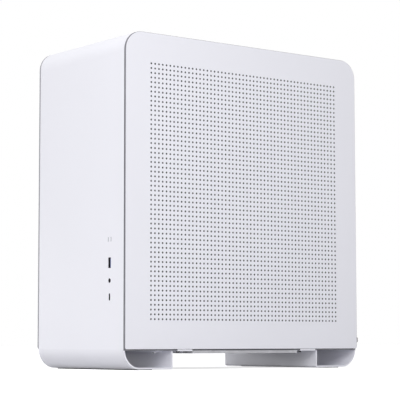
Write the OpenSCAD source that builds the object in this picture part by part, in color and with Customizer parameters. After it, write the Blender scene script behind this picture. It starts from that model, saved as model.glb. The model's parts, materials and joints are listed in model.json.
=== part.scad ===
/* [Case] */
// Overall width across both side panels
case_w = 205; // [200:1:230]
// Depth from the front face to the rear face
case_d = 391; // [385:1:430]
// Overall height, foot pads included
case_h = 427; // [420:1:470]
// Outer radius of the shell's bends and of the panels' upper corners
corner_r = 25; // [18:1:28]
// Radius of the panels' lower corners
panel_foot_r = 2.5; // [1:0.5:6]

/* [Sheet metal] */
// Thickness of the aluminium shell
shell_t = 2; // [1.6:0.1:2.5]
// Thickness of the side panels
panel_t = 1.4; // [1:0.1:2]
// Shadow gap between the shell's edge and a side panel
panel_gap = 1.9; // [1.5:0.1:3]
// Thickness of the steel chassis sheets
steel_t = 1.2; // [0.8:0.1:1.5]

/* [Feet] */
// Depth of the front foot channel along the case
foot_d = 76; // [60:0.1:90]
// Depth of the rear foot channel along the case
rear_foot_d = 73.4; // [60:0.1:90]
// Height of the chassis base's underside above the floor
base_z = 24.3; // [20:0.1:30]
// Height up to which the rear foot covers the rear face
foot_rear_z = 46; // [44:1:50]
// Thickness of the foot pads
pad_t = 1; // [0.5:0.1:2]
// Width of the foot pads along the case
pad_d = 24.5; // [15:0.5:40]

/* [Panel holes] */
// Distance from the panel's front and rear edges to the first hole centre
vent_margin_y = 39.5; // [35:0.5:60]
// Height of the lowest row of holes above the floor
vent_low_z = 63.6; // [55:0.1:80]
// Distance from the top row of holes to the top edge
vent_margin_top = 39.4; // [35:0.1:60]
// Spacing of the holes
vent_pitch = 19.3; // [18:0.1:30]
// Diameter of the holes
vent_d = 8.4; // [4:0.1:9]

/* [Front ports] */
// Distance of the port column from the right panel's outer face
port_inset = 34.6; // [30:0.1:50]
// Height of the indicator windows
lamp_z = 164; // [158:1:172]
// Height of the USB-A port
usb_a_z = 134.5; // [130:0.5:138]
// Height of the audio jack
jack_z = 112; // [108:0.5:116]
// Height of the USB-C port
usb_c_z = 91.5; // [87:0.5:96]
// Diameter of the power button
button_d = 14; // [10:0.5:18]
// Distance of the power button's centre behind the front face
button_y = 46; // [42:1:60]
// Travel of the power button
button_travel = 1.5; // [0.8:0.1:2]

/* [Motherboard] */
// Height of the board's lower edge
board_z = 58; // [56:1:62]
// Length of the board along the height of the case
board_len = 304.8; // [304.8]
// Length of the standoffs
standoff_h = 6.5; // [5:0.5:8]
// Space between the tray and the chassis's right side
tray_room = 20; // [18:0.5:24]

/* [Rear fan] */
// Side of the fan frame
fan_size = 120; // [120]
// Depth of the fan frame
fan_depth = 25; // [20:1:25]
// Spacing of the fan's mounting holes
fan_holes = 105; // [105]
// Height of the fan's centre
fan_z = 334; // [330:1:336]

/* [Bottom filter] */
// Distance of the filter's front edge from the front face
filter_y = 105; // [100:1:110]
// Length of the filter along the case
filter_len = 176; // [170:1:180]
// Height of the filter's underside above the floor
filter_z = 20.5; // [19:0.1:21]
// Height of the pull lip
lip_h = 3.7; // [3:0.1:5]

/* [Rear thumbscrews] */
// Diameter of the knurled heads
knob_d = 9.5; // [8:0.5:12]
// How far the heads stand out of the rear face
knob_proud = 8.5; // [6:0.5:10]
// Height of the thumbscrews
knob_z = 38; // [36:1:40]

/* [Power supply bracket] */
// Height of the bracket's plate
psu_z = 236; // [225:1:245]
// Width of the power supply's mounting face
psu_w = 150; // [150]
// Depth of the power supply's mounting face
psu_d = 86; // [86]

/* [Hidden] */
$fn = 48;
// Smoothness of large circles
large_fn = 96;

silver = [0.92, 0.92, 0.95];
black_steel = [0.1, 0.1, 0.11];
black = [0.08, 0.08, 0.09];
dark_grey = [0.2, 0.2, 0.22];
bright_steel = [0.7, 0.7, 0.72];
brass = [0.8, 0.65, 0.3];
board_green = [0.1, 0.3, 0.16];
port_blue = [0.08, 0.16, 0.5];
clear_grey = [0.9, 0.92, 0.95];

// Room kept between pieces that are slid or dropped into place
fit = 0.3;
// Room between two sheets that lie edge to edge
edge_fit = 0.2;
// Room between two faces that a nut or rivet pulls together
snug = 0.05;
// How far a cutting shape reaches past the face it cuts
past = 1;

// Screws: head diameter, head height, shaft diameter
small_screw = [5.5, 2, 3];
slot_screw = [6.5, 2.4, 3];
bracket_screw = [6, 2.2, 3];
inlet_screw = [5.6, 2, 3];
rail_screw = [5, 2, 3];
fan_screw = [7.5, 2.2, 4.1];
screw_len = 5;
// Holes that a 3 mm screw bites in, and that it passes with room to line up
screw_hole_d = 3.2;
wide_hole_d = 3.4;

front_y = -(case_d + knob_proud) / 2;
rear_y = front_y + case_d;
panel_in_x = case_w / 2 - panel_t;
shell_x = panel_in_x - panel_gap;
top_in_z = case_h - shell_t;
front_in_y = front_y + shell_t;
rear_in_y = rear_y - shell_t;
rear_out_y = rear_in_y + steel_t;
base_top_z = base_z + steel_t;
// Lower edge of the straight lip that the shell turns down at the rear
lip_len = 4;
shell_lip_z = case_h - corner_r - lip_len;

// Radius of the sharp folds in the shell, measured outside
fold_r = shell_t + 0.5;
foot_flange = 12;
// Distance from a foot channel's side ends to its fastening flange
foot_flange_side = 20;
foot_screw_edge = 5.5;
foot_screw_in = shell_t + foot_screw_edge;
foot_screw_y = [front_y + foot_d - foot_screw_in, rear_y - rear_foot_d + foot_screw_in];
foot_screw_side = 29.2;
foot_screw_x = [-(shell_x - foot_screw_side), 0, shell_x - foot_screw_side];
pad_side = 6;
pad_corner_r = 3;
panel_low_z = pad_t + corner_r;

// Rear thumbscrews
knob_side = 8.7;
knob_x = shell_x - knob_side;
knob_neck = 1.5;
knob_shaft_d = 3.5;
knob_shaft_in = 8;
knob_groove = 0.6;
knob_slot_w = 1.2;

// Holes of the side panels, spread evenly between the margins
vent_span_y = case_d - 2 * vent_margin_y;
vent_span_z = case_h - vent_margin_top - vent_low_z;
vent_cols = round(vent_span_y / vent_pitch);
vent_rows = round(vent_span_z / vent_pitch);
vent_sides = 8;

// Side frames: a ring of sheet just inside each edge of the shell
frame_inset = 2;
frame_rim = 14;
frame_inner_r = 8;
frame_x1 = shell_x - frame_inset;
frame_x0 = frame_x1 - steel_t;

// Ball studs of the side panels; the middle pair sits just below the power supply bracket
stud_y = [front_in_y + frame_rim / 2, rear_in_y - frame_rim / 2];
stud_low = 52;
stud_below_psu = 9.75;
stud_z = [base_top_z + stud_low, psu_z - stud_below_psu, case_h - corner_r];
ball_d = 5;
ball_x = frame_x0 - 1;
stud_d = 3.2;
stud_foot_d = 8;
stud_foot_t = 1;
socket_bore_d = 5.4;
socket_d = 7.8;
socket_flange_d = 11;
socket_flange_t = 1;
socket_hole_d = 8;
socket_depth = 5;

// Chassis base
base_flange_h = foot_rear_z - base_z - 2;
base_flange_x = frame_x0 - 1;
bottom_slot_pitch = 10;
bottom_slot_w = 6;
bottom_slot_len = 62;
bottom_slot_gap = 8;

// Motherboard: standard hole places, measured from the board's top edge and rear edge
tray_x = frame_x0 - tray_room;
board_x = tray_x - standoff_h;
board_top_z = board_z + board_len;
recess_depth = 12;
slot_wall_out = rear_out_y - recess_depth;
slot_wall_in = slot_wall_out - steel_t;
board_rear_gap = 1.5;
board_rear_y = slot_wall_in - board_rear_gap;
hole_down = [6.35, 163.83, 288.29];
hole_in = [10.16, 165.1, 237.49];
// The upper rear hole stands further in, clear of the ports
hole_in_upper = 33.02;
board_holes = [for (i = [0:2]) for (j = [0:2])
    [board_rear_y - (i == 0 && j == 0 ? hole_in_upper : hole_in[j]), board_top_z - hole_down[i]]];
standoff_d = 5.8;
standoff_shank_d = 3.6;
standoff_hole_d = 3.7;
standoff_thread_d = 3;
standoff_thread_l = 5;
tray_flange = 10;
tray_flange_end = 3;

// Port window of the rear plate
window_w = 44.45;
window_h = 158.75;
window_x1 = board_x + 2.3;
window_z1 = board_top_z - 1;

// Expansion slots
slot_pitch = 20.32;
// From the board's face to the ledge that the covers are screwed to
slot_ledge_in = 112.5;
slot_open_h = 12.7;
slot_open_w = 98;
slot_open_in = 7;
slot_first_up = 12;
slot_first_z = board_z + slot_first_up;
ledge_x = board_x - slot_ledge_in;
slot_open_x0 = ledge_x + slot_open_in;
tab_hole_in = 7;
tab_hole_y = slot_wall_in + tab_hole_in;
tab_hole_d = 4.4;
cover_w = 18.4;
cover_t = 0.9;
cover_tongue_w = 9.6;
cover_tongue_l = 8;
cover_over_end = 2;
cover_slots = 14;
cover_slot_pitch = 6;
cover_slot_in = 10;
cover_slot = [9, 3];
tab_len = 11.4;

// Outline of the sunken bay: wide behind the slots, narrow behind the port window
recess_x1 = tray_x - 2;
recess_z0 = slot_first_z - cover_w / 2 - fit;
recess_z1 = slot_first_z + 6 * slot_pitch + cover_w / 2 + fit;
recess_window_x0 = window_x1 - window_w - 1;
recess_window_z1 = window_z1 + 2;

// Rear fan and its grille
fan_gap = 0.5;
fan_x = recess_window_x0 - steel_t - fan_gap - fan_size / 2;
fan_y0 = rear_in_y - fan_depth;
fan_bore_d = fan_size - 5;
fan_corner_r = 5;
fan_hole_d = 4.3;
fan_hub_d = 40;
fan_hub_t = 4;
fan_hub_y = rear_in_y - fan_hub_t;
fan_strut_w = 4;
fan_shaft_d = 3;
fan_bearing_d = 8;
fan_hub_wall = 2;
fan_blades = 7;
fan_blade_t = 1.8;
fan_blade_len = 44;
fan_blade_tilt = 38;
fan_tip_gap = 1.25;
fan_run_gap = 0.8;
rotor_y0 = fan_y0 + 1;
rotor_y1 = fan_hub_y - fan_run_gap;
grille_pitch = 8;
grille_gap = 5;
grille_rim = 1.5;
grille_bridge = 3;

// Power inlet, above the port window
inlet_x = window_x1 - 22;
inlet_z = recess_window_z1 + 16.5;
inlet_body_w = 27;
inlet_body_h = 19.5;
inlet_depth = 24;
inlet_floor = 7;
inlet_plate = [50, 22.4];
inlet_plate_t = 2.5;
inlet_plate_r = 4;
inlet_mouth = [24, 15.2];
inlet_mouth_r = [1, 4.5];
inlet_screw_x = 20;
inlet_screw_len = 8;
inlet_pins = [[-7, -2], [0, 2], [7, -2]];
inlet_pin = [2, 4];
inlet_pin_tail = 6;
inlet_pin_below = 2;

// Bottom filter and its rails
filter_y0 = front_y + filter_y;
filter_y1 = filter_y0 + filter_len;
filter_mid_y = (filter_y0 + filter_y1) / 2;
filter_end = 8;
filter_x0 = -shell_x + filter_end;
filter_x1 = case_w / 2 - edge_fit;
filter_window_x1 = frame_x0 - 4;
filter_border = 12;
filter_edge = 4;
filter_bar = 6;
filter_rebate = 2;
mesh_t = 0.6;
mesh_pitch = 15;
mesh_hole = 12;
mesh_skew = 1;
lip_t = 3;
lip_bevel = 1;
rail_t = 0.8;
rail_z1 = base_z;
rail_z0 = filter_z;
filter_frame_z1 = rail_z1 - rail_t - fit;
filter_tongue_z0 = rail_z0 + rail_t + edge_fit;
// The rails' channels end out of sight; their flanges go on to both sides and turn up beside the base
rail_end_x = 82;
rail_tab_x0 = panel_in_x + edge_fit / 2;
rail_tab_x1 = rail_tab_x0 + rail_t;
rail_tab_gap = 0.3;
rail_tab_z1 = panel_low_z - rail_tab_gap;
// For the front and the rear rail: direction away from the filter, edge of the filter, screw, and reach
rail_dir = [-1, 1];
rail_edge_y = [filter_y0, filter_y1];
rail_screw_out = [17.5, 11.5];
rail_screw_y = [for (i = [0, 1]) rail_edge_y[i] + rail_dir[i] * rail_screw_out[i]];
rail_tab_in = [edge_fit, 6.5];
rail_reach = [23.5, 33];
rail_screw_side = 2;
rail_screw_x = frame_x0 - rail_screw_side;
rail_screw_len = 3.6;

// Front ports: openings in the shell and the pieces in them, as across and upright
port_x = case_w / 2 - port_inset;
usb_a_size = [5.7, 13.1];
usb_a_wall = 0.3;
usb_a_len = 17.6;
usb_a_room = 0.15;
usb_c_size = [3.26, 8.94];
usb_c_wall = 0.35;
usb_c_len = 8.6;
usb_c_room = 0.17;
jack_d = 5.7;
jack_bore_d = 3.6;
jack_body = [2.8, 6];
jack_len = 13;
jack_room = 0.15;
// How far the port's mouths stand back from the front face
port_back = 0.4;
lamp_gap = 6;
lamp_w = 1.4;
lamp_h = 6;
lamp_room = 0.1;
lamp_x = [port_x - lamp_gap / 2, port_x + lamp_gap / 2];

// Upright board behind the front face that carries every port, and its bracket
io_board_t = 1.6;
io_board_x = port_x + usb_a_size[0] / 2;
io_y0 = front_in_y + 1;
io_y1 = io_y0 + 34;
io_z0 = usb_c_z - 12;
io_z1 = lamp_z + 10;
io_hole_in = 6;
io_hole_z = [io_z0 + 5, io_z1 - 5];
io_rim = 3;
io_flange = 12;

// Power button, its housing and its switch
button_cy = front_y + button_y;
cap_z1 = case_h - 0.2;
cap_bevel = 0.5;
cap_flange_t = 1.2;
cap_flange_w = 1.5;
cap_flange_z1 = top_in_z - fit;
cap_stem_d = 5;
switch_z = top_in_z - 13;
switch_foot_t = 1.2;
switch_body = [6, 2.8];
switch_pin_d = 3.5;
switch_pin_z = 4.6;
housing_wall = 2.2;
housing_room = fit;
housing_ear = [6, 8];
housing_ear_t = 1.5;

// Power supply bracket; the four screw places are those of a power supply's mounting face
psu_mid_y = front_in_y + 10 + psu_d / 2;
psu_t = 1.5;
psu_ear_h = 60;
psu_ear_d = 40;
psu_lip_h = 8;
psu_rim = 4;
psu_frame_w = [12, 11];
psu_hole_d = 4;
psu_rear_y = psu_mid_y + psu_d / 2 + psu_rim;
psu_screw_y = front_in_y + frame_rim / 2;
psu_screw_z = [psu_z + 16, psu_z + 44];
psu_screw_len = 3.2;
psu_holes = [for (p = [[-69, 37], [69, 37], [-69, -27], [45, -37]]) [p[0], psu_mid_y + p[1]]];

// Tray: starts behind the power supply bracket and ends at the rear plate
tray_front_y = psu_rear_y + 2;
cooler_hole = [104, 132];
cooler_hole_in = 150;
cooler_hole_down = 152;
tray_hole_r = 8;
grommet_w = 22;
grommet_h = 60;
grommet_y = tray_front_y + 5 + grommet_w / 2;
grommet_z = [for (k = [0:2]) board_z + 62 + 95 * k];
grommet_lip = 2;
grommet_wall = 3;
grommet_gap = 0.1;
grommet_seat = 0.5;
grommet_slit_w = 2;
grommet_slit_end = 5;

top_rail_y = tray_front_y + 12;
top_rail_d = 20;
top_rail_h = 12;
top_rail_hole_d = 8;
hole_row = [-60:20:60];

// Tray for a 3.5 inch drive on the chassis base, with the standard places of a drive's bottom screws
drive_side = 22;
drive_x = frame_x0 - drive_side;
drive_foot_w = 10;
drive_foot_d = 14;
drive_foot_x = drive_x + steel_t + 5;
drive_screw_y = [front_in_y + 14, front_in_y + 90];
drive_hole_x = 44.45;
drive_hole_y = 95.25;
drive_rim = 6.1;
drive_y0 = front_in_y + 1.7;
drive_y1 = drive_y0 + drive_hole_y + 2 * drive_rim;
drive_mid_y = (drive_y0 + drive_y1) / 2;
drive_lift = 8;
drive_z = base_top_z + drive_lift;
drive_holes = [for (sx = [-1, 1]) for (sy = [-1, 1])
    [sx * drive_hole_x / 2, drive_mid_y + sy * drive_hole_y / 2]];
drive_slot = [60, 8];
sleeve_flange_d = 12;
sleeve_flange_t = 1.5;
sleeve_neck_d = 8.8;
sleeve_hole_d = 9;
sleeve_bore_d = 4.2;

// Bracket for a 2.5 inch drive on the back of the tray, with the standard places of its bottom screws
ssd_y = board_rear_y - 110;
ssd_z = board_z + 62;
ssd_feet_y = 90;
ssd_feet_z = 84;
ssd_lift = 6;
ssd_x = tray_x + steel_t + ssd_lift;
ssd_wall_in = 8;
ssd_foot = 6;
ssd_holes = [61.72, 76.6];
ssd_slot = [46, 5];
ssd_slot_pitch = 12;
ssd_screw_len = 3.5;

module block(low, high) {
    translate(low) cube(high - low);
}

// Rectangle between two corners, with a radius for each corner:
// lower left, lower right, upper right, upper left
module outline(low, high, r) {
    corners = [[low[0], low[1], 1, 1], [high[0], low[1], -1, 1],
               [high[0], high[1], -1, -1], [low[0], high[1], 1, -1]];
    difference() {
        translate(low) square(high - low);
        for (i = [0:3]) if (r[i] > 0) corner_waste(corners[i], r[i]);
    }
}

module corner_waste(c, r) {
    difference() {
        translate([c[0] - (c[2] > 0 ? past : r), c[1] - (c[3] > 0 ? past : r)]) square(r + past);
        translate([c[0] + c[2] * r, c[1] + c[3] * r]) circle(r, $fn = large_fn);
    }
}

// A centred rectangle with one radius for all corners
module round_rect(size, r) {
    outline(-size / 2, size / 2, [r, r, r, r]);
}

// A profile drawn in Y and Z, drawn out along X
module along_x(x0, x1) {
    translate([x0, 0, 0]) rotate([90, 0, 90]) linear_extrude(x1 - x0) children();
}

// A profile drawn in X and Z, drawn out along Y
module along_y(y0, y1) {
    translate([0, y1, 0]) rotate([90, 0, 0]) linear_extrude(y1 - y0) children();
}

// Slot with round ends, centred, with its long side along the first axis
module slot_2d(size) {
    w = size[1];
    straight = size[0] - w;
    square([straight, w], center = true);
    for (s = [-1, 1]) translate([s * straight / 2, 0]) circle(d = w);
}

// The same slot, standing upright, from its width and height
module upright_slot_2d(size) {
    rotate(90) slot_2d([size[1], size[0]]);
}

// Cylindrical cut along +X through one sheet whose near face is at the origin
module drill_x(d, depth) {
    translate([-past, 0, 0]) rotate([0, 90, 0]) cylinder(h = depth + 2 * past, d = d);
}

// The same along +Z
module drill_z(d, depth) {
    translate([0, 0, -past]) cylinder(h = depth + 2 * past, d = d);
}

// Screw with its head's bearing face at the origin, pointing along -Z
module screw(size, len) {
    head_d = size[0];
    head_h = size[1];
    crown = 0.4 * head_h;
    recess = [0.6 * head_d, 0.12 * head_d];
    difference() {
        union() {
            cylinder(h = head_h - crown, d = head_d);
            translate([0, 0, head_h - crown]) cylinder(h = crown, d1 = head_d, d2 = 0.7 * head_d);
            translate([0, 0, -len]) cylinder(h = len + head_h / 2, d = size[2]);
        }
        for (a = [0, 90]) rotate([0, 0, a])
            translate([-recess[0] / 2, -recess[1] / 2, 0.45 * head_h]) cube([recess[0], recess[1], head_h]);
    }
}

// Runs its children on the +X side, or mirrored on the -X side
module on_side(side) {
    mirror([side < 0 ? 1 : 0, 0, 0]) children();
}

module both_sides() {
    for (s = [-1, 1]) on_side(s) children();
}

module shell_ring_2d() {
    r = corner_r;
    ri = corner_r - shell_t;
    difference() {
        outline([front_y, pad_t], [rear_y, case_h], [r, r, r, r]);
        outline([front_in_y, pad_t + shell_t], [rear_in_y, top_in_z], [ri, ri, ri, ri]);
    }
}

// Flat floor, inner wall and fastening flange of a foot, measured inwards from the case's end face
module foot_2d(d) {
    start = corner_r - past;
    ri = fold_r - shell_t;
    difference() {
        outline([corner_r, pad_t], [d, base_z], [0, fold_r, fold_r, 0]);
        outline([start, pad_t + shell_t], [d - shell_t, base_z - shell_t], [0, ri, ri, 0]);
        translate([start, pad_t + shell_t]) square([d - foot_flange - start, base_z]);
    }
}

// Cutter that ends a fastening flange, which starts at y0, short of the channel's open ends
module flange_ends(y0) {
    both_sides() block([shell_x - foot_flange_side, y0, base_z - shell_t],
                       [shell_x + past, y0 + foot_flange + past, base_z + past]);
}

module foot_screw_holes(y) {
    for (x = foot_screw_x) translate([x, y, base_z - shell_t]) drill_z(screw_hole_d, shell_t + steel_t);
}

module port_cutouts() {
    along_y(front_y - past, front_in_y + past) {
        translate([port_x, usb_a_z]) square(grown(usb_a_size, usb_a_room), center = true);
        translate([port_x, usb_c_z]) upright_slot_2d(grown(usb_c_size, usb_c_room));
        translate([port_x, jack_z]) circle(d = jack_d + 2 * jack_room);
        for (x = lamp_x) translate([x, lamp_z]) upright_slot_2d(grown([lamp_w, lamp_h], lamp_room));
    }
}

// A width and height, with the same margin added all round
function grown(size, margin) = [size[0] + 2 * margin, size[1] + 2 * margin];

module outer_shell() {
    color(silver) difference() {
        along_x(-shell_x, shell_x) {
            intersection() {
                shell_ring_2d();
                union() {
                    translate([front_y, 0]) square([corner_r, case_h]);
                    translate([front_y, shell_lip_z]) square([case_d, case_h]);
                }
            }
            translate([front_y, 0]) foot_2d(foot_d);
        }
        flange_ends(front_y + foot_d - shell_t - foot_flange - past);
        port_cutouts();
        translate([port_x, button_cy, top_in_z]) drill_z(button_d + 2 * fit, shell_t);
        foot_screw_holes(foot_screw_y[0]);
    }
}

module rear_foot() {
    color(silver) difference() {
        along_x(-shell_x, shell_x) {
            intersection() {
                shell_ring_2d();
                translate([rear_y - corner_r, 0]) square([corner_r, foot_rear_z]);
            }
            translate([rear_y, 0]) mirror([1, 0]) foot_2d(rear_foot_d);
        }
        flange_ends(rear_y - rear_foot_d + shell_t);
        foot_screw_holes(foot_screw_y[1]);
        both_sides() translate([knob_x, rear_y + past, knob_z]) rotate([90, 0, 0])
            cylinder(h = shell_t + 2 * past, d = knob_shaft_d + 2 * fit);
    }
}

module foot_pad(y) {
    x = shell_x - pad_side;
    r = pad_corner_r;
    color(black) translate([0, y, 0]) linear_extrude(pad_t) outline([-x, 0], [x, pad_d], [r, r, r, r]);
}

module foot_screws() {
    color(bright_steel) for (y = foot_screw_y) for (x = foot_screw_x)
        translate([x, y, base_z - shell_t]) rotate([180, 0, 0]) screw(small_screw, screw_len);
}

module side_panel(side) {
    color(silver) on_side(side) along_x(panel_in_x, case_w / 2) difference() {
        outline([front_y, panel_low_z], [rear_y, case_h], [panel_foot_r, panel_foot_r, corner_r, corner_r]);
        translate([front_y + vent_margin_y, vent_low_z]) for (i = [0:vent_cols]) for (j = [0:vent_rows])
            translate([vent_span_y * i / vent_cols, vent_span_z * j / vent_rows])
                circle(d = vent_d, $fn = vent_sides);
    }
}

module at_studs(side) {
    on_side(side) for (y = stud_y) for (z = stud_z) translate([0, y, z]) rotate([0, 90, 0]) children();
}

module panel_studs(side) {
    color(bright_steel) at_studs(side) {
        translate([0, 0, panel_in_x - stud_foot_t]) cylinder(h = stud_foot_t, d = stud_foot_d);
        translate([0, 0, ball_x]) cylinder(h = panel_in_x - ball_x, d = stud_d);
        translate([0, 0, ball_x]) sphere(d = ball_d);
    }
}

module panel_sockets(side) {
    low = frame_x0 - socket_depth;
    color(dark_grey) at_studs(side) difference() {
        union() {
            translate([0, 0, frame_x1]) cylinder(h = socket_flange_t, d = socket_flange_d);
            translate([0, 0, low]) cylinder(h = frame_x1 + socket_flange_t / 2 - low, d = socket_d);
        }
        translate([0, 0, low]) drill_z(socket_bore_d, frame_x1 + socket_flange_t - low);
    }
}

module side_frame(side) {
    inset = shell_t + fit;
    r = corner_r - inset;
    ri = frame_inner_r;
    color(black_steel) on_side(side) difference() {
        along_x(frame_x0, frame_x1) difference() {
            outline([front_y + inset, base_top_z], [rear_in_y, case_h - inset],
                    [fit, fit, corner_r - shell_t, r]);
            outline([front_y + inset + frame_rim, base_top_z + frame_rim],
                    [rear_in_y - frame_rim, case_h - inset - frame_rim], [ri, ri, ri, ri]);
        }
        at_studs(1) translate([0, 0, frame_x0]) drill_z(socket_hole_d, steel_t);
        for (z = psu_screw_z) translate([frame_x0, psu_screw_y, z]) drill_x(screw_hole_d, steel_t);
    }
}

module chassis_base() {
    y0 = front_in_y + edge_fit;
    y1 = rear_in_y - edge_fit;
    color(silver) difference() {
        union() {
            block([-shell_x, y0, base_z], [shell_x, y1, base_top_z]);
            for (y = [y0, y1 - steel_t])
                block([-base_flange_x, y, base_z], [base_flange_x, y + steel_t, base_z + base_flange_h]);
        }
        translate([0, 0, base_z - past]) linear_extrude(steel_t + 2 * past) base_holes_2d();
        both_sides() translate([knob_x, rear_y + past, knob_z]) rotate([90, 0, 0])
            cylinder(h = shell_t + steel_t + 2 * past, d = knob_shaft_d + edge_fit);
    }
}

// Air slots over the filter, fan holes beside them, and the holes for the screws from below
module base_holes_2d() {
    for (s = [-1, 1]) for (i = [-4.5:4.5])
        translate([i * bottom_slot_pitch, filter_mid_y + s * (bottom_slot_len + bottom_slot_gap) / 2])
            upright_slot_2d([bottom_slot_w, bottom_slot_len]);
    for (sx = [-1, 1]) for (sy = [-1, 1])
        translate([sx * fan_holes / 2, filter_mid_y + sy * fan_holes / 2]) circle(d = fan_hole_d);
    for (y = foot_screw_y) for (x = foot_screw_x)
        translate([x, y]) circle(d = screw_hole_d);
    for (s = [-1, 1]) {
        for (y = rail_screw_y) translate([s * rail_screw_x, y]) circle(d = screw_hole_d);
        for (y = drive_screw_y) translate([s * drive_foot_x, y]) circle(d = screw_hole_d);
    }
}

// Outline of the sunken bay for the slots and the port window, grown by a margin
module recess_2d(grow) {
    translate([ledge_x + steel_t - grow, recess_z0 - grow])
        square([recess_x1 - ledge_x - steel_t + 2 * grow, recess_z1 - recess_z0 + 2 * grow]);
    translate([recess_window_x0 - grow, recess_z0 - grow])
        square([recess_x1 - recess_window_x0 + 2 * grow, recess_window_z1 - recess_z0 + 2 * grow]);
}

module at_slots() {
    for (i = [0:6]) translate([0, 0, slot_first_z + i * slot_pitch]) children();
}

module rear_plate() {
    edge_x = shell_x - fit;
    color(black_steel) difference() {
        along_y(rear_in_y, rear_out_y) difference() {
            translate([-edge_x, foot_rear_z + fit])
                square([2 * edge_x, shell_lip_z - foot_rear_z - 2 * fit]);
            recess_2d(0);
        }
        along_y(rear_in_y - past, rear_out_y + past) {
            fan_grille_2d();
            translate([fan_x, fan_z]) at_fan_screws_2d() circle(d = fan_hole_d);
            translate([inlet_x, inlet_z]) {
                square(grown([inlet_body_w, inlet_body_h], fit), center = true);
                for (s = [-1, 1]) translate([s * inlet_screw_x, 0]) circle(d = screw_hole_d);
            }
        }
    }
}

module at_fan_screws_2d() {
    for (sx = [-1, 1]) for (sz = [-1, 1]) translate([sx * fan_holes / 2, sz * fan_holes / 2]) children();
}

// Sunken bay, welded behind the rear plate, with the port window and the seven slots
module port_bay() {
    color(black_steel) difference() {
        along_y(slot_wall_in, rear_in_y) recess_2d(steel_t);
        along_y(slot_wall_out, rear_in_y + past) recess_2d(0);
        along_y(slot_wall_in - past, slot_wall_out + past) {
            translate([window_x1 - window_w, window_z1 - window_h]) square([window_w, window_h]);
            for (i = [0:6]) translate([slot_open_x0, slot_first_z + i * slot_pitch - slot_open_h / 2])
                square([slot_open_w, slot_open_h]);
        }
        at_slots() translate([ledge_x, tab_hole_y, 0]) drill_x(screw_hole_d, steel_t);
    }
}

// Round grille of level bars
module fan_grille_2d() {
    intersection() {
        translate([fan_x, fan_z]) circle(d = fan_bore_d - 2 * grille_rim, $fn = large_fn);
        union() for (i = [-7:7]) for (s = [-1, 1])
            translate([fan_x + s * (fan_size / 2 + grille_bridge) / 2, fan_z + i * grille_pitch])
                slot_2d([fan_size / 2, grille_gap]);
    }
}

module slot_cover(i) {
    z = slot_first_z + (7 - i) * slot_pitch;
    y0 = slot_wall_in - cover_t;
    tongue_x = slot_open_x0 + slot_open_w + cover_over_end;
    color(black_steel) difference() {
        union() {
            along_y(y0, slot_wall_in) {
                translate([ledge_x - cover_t, z - cover_w / 2])
                    square([tongue_x - ledge_x + cover_t, cover_w]);
                translate([tongue_x - past, z - cover_tongue_w / 2])
                    square([cover_tongue_l + past, cover_tongue_w]);
            }
            block([ledge_x - cover_t, y0, z - cover_w / 2], [ledge_x, y0 + tab_len, z + cover_w / 2]);
        }
        along_y(y0 - past, slot_wall_in + past) for (k = [0:cover_slots - 1])
            translate([slot_open_x0 + cover_slot_in + k * cover_slot_pitch, z])
                rotate(90) slot_2d(cover_slot);
        translate([ledge_x - cover_t, tab_hole_y, z]) drill_x(tab_hole_d, cover_t);
    }
}

module slot_screws() {
    color(bright_steel) at_slots() translate([ledge_x - cover_t, tab_hole_y, 0]) rotate([0, -90, 0])
        screw(slot_screw, screw_len);
}

module motherboard_tray() {
    flange_x = tray_x + steel_t + tray_flange;
    flange_y = rear_in_y - tray_flange_end;
    color(black_steel) difference() {
        union() {
            along_x(tray_x, tray_x + steel_t) difference() {
                outline([tray_front_y, base_top_z], [rear_in_y, top_in_z - fit],
                        [0, 0, corner_r - shell_t, 0]);
                translate([tray_front_y - past, top_in_z - top_rail_h])
                    square([top_rail_y + top_rail_d + fit - tray_front_y + past, top_rail_h]);
                translate([flange_y, 0]) square([tray_flange_end + past, foot_rear_z]);
                tray_cutouts_2d();
            }
            block([tray_x, tray_front_y, base_top_z], [flange_x, flange_y, base_top_z + steel_t]);
            block([tray_x, rear_in_y - steel_t, foot_rear_z + 4], [flange_x, rear_in_y, shell_lip_z - 10]);
        }
        for (p = board_holes) translate([tray_x, p[0], p[1]]) drill_x(standoff_hole_d, steel_t);
    }
}

module tray_cutouts_2d() {
    r = [tray_hole_r, tray_hole_r, tray_hole_r, tray_hole_r];
    translate([board_rear_y - cooler_hole_in, board_top_z - cooler_hole_down])
        outline([0, 0], cooler_hole, r);
    for (z = grommet_z) translate([grommet_y, z]) round_rect([grommet_w, grommet_h], tray_hole_r);
    translate([ssd_y, ssd_z]) at_ssd_feet_2d() circle(d = screw_hole_d);
}

module at_ssd_feet_2d() {
    for (sy = [-1, 1]) for (sz = [-1, 1]) translate([sy * ssd_feet_y / 2, sz * ssd_feet_z / 2]) children();
}

// Rubber sleeve with a slit skin, seated in a tray opening
module cable_grommet(i) {
    hole = [grommet_w, grommet_h];
    lip = grown(hole, grommet_lip);
    lip_r = tray_hole_r + 1;
    open = grown(hole, -grommet_wall);
    tray_back = tray_x + steel_t;
    z = grommet_z[i - 1];
    slit_h = grommet_h / 2 - grommet_slit_end;
    color(black) difference() {
        union() {
            along_x(tray_x - 1, tray_x) translate([grommet_y, z]) round_rect(lip, lip_r);
            along_x(tray_x - grommet_seat, tray_back + grommet_seat) translate([grommet_y, z])
                round_rect(grown(hole, -grommet_gap), tray_hole_r);
            along_x(tray_back, tray_back + 1) translate([grommet_y, z]) round_rect(lip, lip_r);
        }
        along_x(tray_x - 1 - past, tray_x) translate([grommet_y, z]) round_rect(open, tray_hole_r - 2);
        along_x(tray_x + 1, tray_back + 1 + past) translate([grommet_y, z])
            round_rect(open, tray_hole_r - 2);
        block([tray_x - past, grommet_y - grommet_slit_w / 2, z - slit_h],
              [tray_back + past, grommet_y + grommet_slit_w / 2, z + slit_h]);
    }
}

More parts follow.
